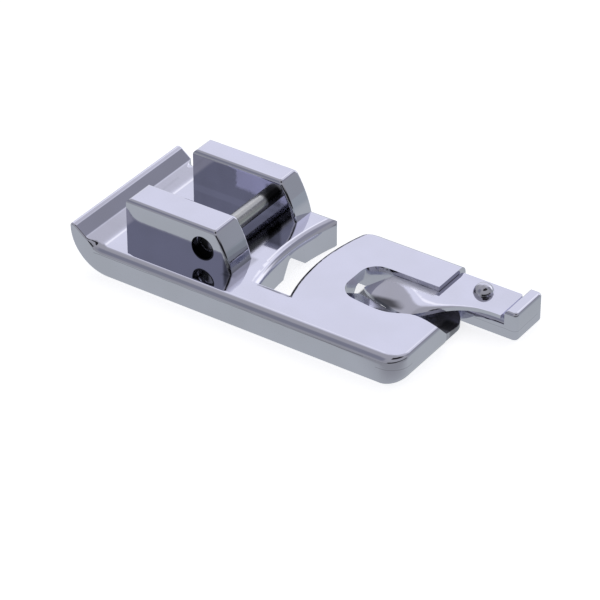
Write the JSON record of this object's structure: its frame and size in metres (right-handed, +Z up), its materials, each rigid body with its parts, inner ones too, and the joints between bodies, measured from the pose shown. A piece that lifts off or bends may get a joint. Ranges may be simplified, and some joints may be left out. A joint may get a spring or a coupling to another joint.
{
  "type": "sewing machine presser foot",
  "caption": "Clip-on rolled hem presser foot with a needle slot, two ears with a cross bar, and a riveted sheet scroll that rolls the cloth's edge.",
  "frame": {"origin": "on the ankle bar's axis, midway between the ears' inner faces", "axes": "-Y towards the front, where the cloth comes in; +X to the sewer's right, along the ankle bar; +Z up, away from the sole"},
  "size_m": [0.0186, 0.0451, 0.0076],
  "materials": {
    "casting": "polished chrome plating",
    "pin": "ground smooth",
    "sheet": "polished chrome plating",
    "rivet": "polished chrome plating"
  },
  "bodies": {
    "root": {"foot_body": "casting", "ankle_bar": "pin", "hem_scroll": "sheet", "scroll_rivet": "rivet"}
  },
  "joints": []
}
